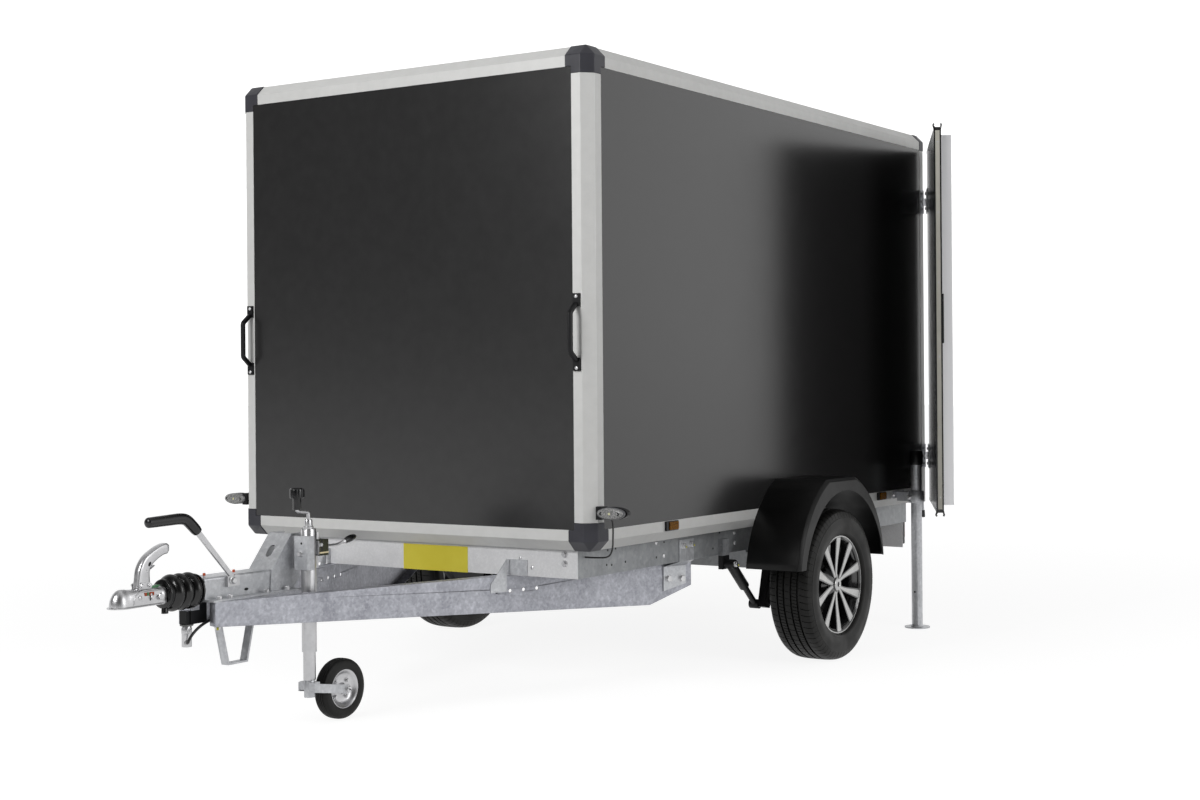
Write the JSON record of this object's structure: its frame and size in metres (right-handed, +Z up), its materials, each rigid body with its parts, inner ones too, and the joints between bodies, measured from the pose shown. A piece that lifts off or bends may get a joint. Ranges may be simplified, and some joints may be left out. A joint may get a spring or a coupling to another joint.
{
  "type": "box cargo trailer",
  "caption": "Single-axle box cargo trailer with a panelled load space, rear doors standing open, V drawbar, jockey wheel and corner steadies.",
  "frame": {"origin": "on the ground, below the middle of the overall length and width, the hitch and the open doors included", "axes": "+Z up, -Y towards the hitch, +X to the trailer's left"},
  "size_m": [2.4648, 4.051, 2.235],
  "materials": {
    "alu": "satin anodised",
    "panel": "fine-textured charcoal film",
    "floor_board": "film-faced plywood",
    "cap_plastic": "moulded",
    "black_plastic": "moulded",
    "galvanised": "hot-dip galvanised",
    "zinc": "bright zinc",
    "black_paint": "gloss black",
    "rubber": "moulded",
    "tyre": "moulded tread",
    "rim": "machined and black",
    "clear_lens": "clear",
    "amber_lens": "amber",
    "red_lens": "red"
  },
  "bodies": {
    "chassis": {"axle": "galvanised", "bellows": "rubber", "brake_rod": "black_paint", "chassis_frame": "galvanised", "corner_caps": "cap_plastic", "coupling_handle": "zinc", "coupling_head": "zinc", "drawbar_beams": "galvanised", "drawbar_brackets": "galvanised", "edge_profiles": "alu", "floor": "floor_board", "front_markers": "clear_lens", "front_panel": "panel", "front_sheet": "galvanised", "grab_handles": "black_plastic", "handbrake": "zinc", "hinge_brackets": "galvanised", "jockey_tube": "galvanised", "lamp_board": "galvanised", "left_side_panel": "panel", "leg_clamps": "galvanised", "marker_cable": "rubber", "mudguards": "black_plastic", "overrun_housing": "galvanised", "plug": "zinc", "plug_cable": "rubber", "plug_holder": "galvanised", "rear_frame": "alu", "rear_lamps": "red_lens", "right_side_panel": "panel", "roof_panel": "panel", "shock_absorbers": "black_paint", "side_markers": "amber_lens", "trailing_arms": "black_paint"},
    "left_wheel": {"left_tyre": "tyre", "left_rim": "rim"},
    "right_wheel": {"right_tyre": "tyre", "right_rim": "rim"},
    "left_door": {"left_door_leaf": "panel", "left_lock_bar": "alu", "left_hinge_straps": "galvanised"},
    "right_door": {"right_door_leaf": "panel", "right_lock_bar": "alu", "right_hinge_straps": "galvanised", "right_lock_rod": "zinc"},
    "jockey_mast": {"jockey_shaft": "galvanised"},
    "jockey_swivel": {"jockey_fork": "galvanised"},
    "jockey_roller": {"jockey_wheel": "rubber"},
    "left_steady": {"left_leg": "galvanised"},
    "right_steady": {"right_leg": "galvanised"}
  },
  "joints": [
    {"name": "left_wheel_spin", "type": "hinge", "parent": "chassis", "child": "left_wheel", "pos_m": [0.93, 0.7095, 0.298], "axis": [-1, 0, 0], "continuous": true},
    {"name": "right_wheel_spin", "type": "hinge", "parent": "chassis", "child": "right_wheel", "pos_m": [-0.93, 0.7095, 0.298], "axis": [-1, 0, 0], "continuous": true},
    {"name": "left_door_hinge", "type": "hinge", "parent": "chassis", "child": "left_door", "pos_m": [0.83, 2.0165, 0.548], "axis": [0, 0, 1], "range_deg": [0, 244]},
    {"name": "right_door_hinge", "type": "hinge", "parent": "chassis", "child": "right_door", "pos_m": [-0.83, 2.0165, 0.548], "axis": [0, 0, -1], "range_deg": [0, 244]},
    {"name": "jockey_crank_slide", "type": "slide", "parent": "chassis", "child": "jockey_mast", "axis": [0, 0, 1], "range_m": [-0.15, 0.09]},
    {"name": "jockey_swivel_turn", "type": "hinge", "parent": "jockey_mast", "child": "jockey_swivel", "pos_m": [0.105, -1.3115, 0.1], "axis": [0, 0, 1], "continuous": true},
    {"name": "jockey_wheel_spin", "type": "hinge", "parent": "jockey_swivel", "child": "jockey_roller", "pos_m": [0.105, -1.1715, 0.1], "axis": [-1, 0, 0], "continuous": true},
    {"name": "left_steady_slide", "type": "slide", "parent": "chassis", "child": "left_steady", "axis": [0, 0, 1], "range_m": [0, 0.35]},
    {"name": "right_steady_slide", "type": "slide", "parent": "chassis", "child": "right_steady", "axis": [0, 0, 1], "range_m": [0, 0.35]}
  ]
}
